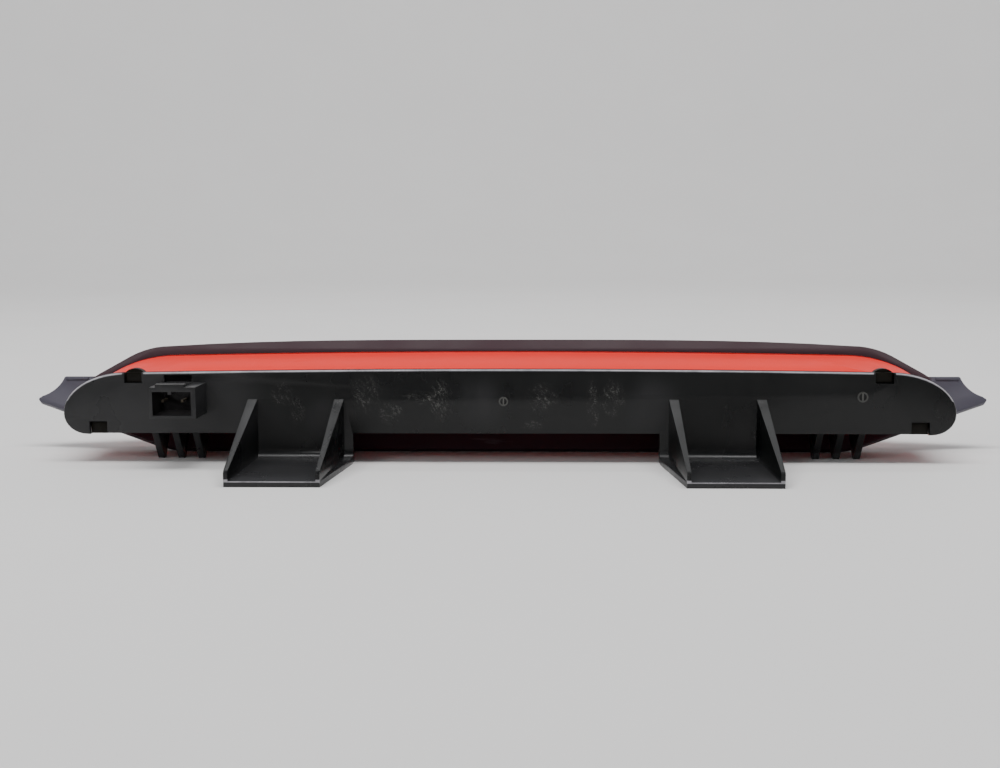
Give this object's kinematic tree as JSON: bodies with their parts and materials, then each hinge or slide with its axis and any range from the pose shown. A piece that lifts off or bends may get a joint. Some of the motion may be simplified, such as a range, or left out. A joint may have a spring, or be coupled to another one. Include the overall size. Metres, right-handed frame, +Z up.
{
  "type": "third brake light",
  "caption": "Long high-level brake light for a raked rear window: black cover with feet and a connector socket, red wedge-shaped lens, and a black front bezel with fish-tail wing tabs",
  "frame": {"origin": "On the plane of the feet, at the middle of the lamp's box", "axes": "X along the lamp, Y from the feet towards the glass, Z up from the feet"},
  "size_m": [0.3424, 0.0912, 0.038],
  "materials": {
    "black_plastic": "semi-gloss black moulded plastic, scuffed and dusty",
    "bezel_plastic": "satin charcoal moulded plastic",
    "red_lens": "clear red acrylic",
    "foam": "closed-cell foam",
    "board": "green solder mask",
    "bright_reflector": "vacuum-metallised plastic",
    "terminal_metal": "tinned brass",
    "screw_steel": "zinc-plated steel",
    "led_resin": "red-tinted epoxy",
    "chip_black": "black moulded component body"
  },
  "bodies": {
    "root": {"rear_cover": "black_plastic", "lens": "red_lens", "front_bezel": "bezel_plastic", "glass_seal": "foam", "circuit_board": "board", "reflector": "bright_reflector", "terminal_live": "terminal_metal", "terminal_earth": "terminal_metal", "board_screws": "screw_steel", "protection_diode": "chip_black", "led_01": "led_resin", "led_02": "led_resin", "led_03": "led_resin", "led_04": "led_resin", "led_05": "led_resin", "led_06": "led_resin", "led_07": "led_resin", "led_08": "led_resin", "led_09": "led_resin", "led_10": "led_resin", "led_11": "led_resin", "led_12": "led_resin", "led_13": "led_resin", "led_14": "led_resin", "led_15": "led_resin", "led_16": "led_resin", "resistor_1": "chip_black", "resistor_2": "chip_black", "resistor_3": "chip_black", "resistor_4": "chip_black"}
  },
  "joints": []
}
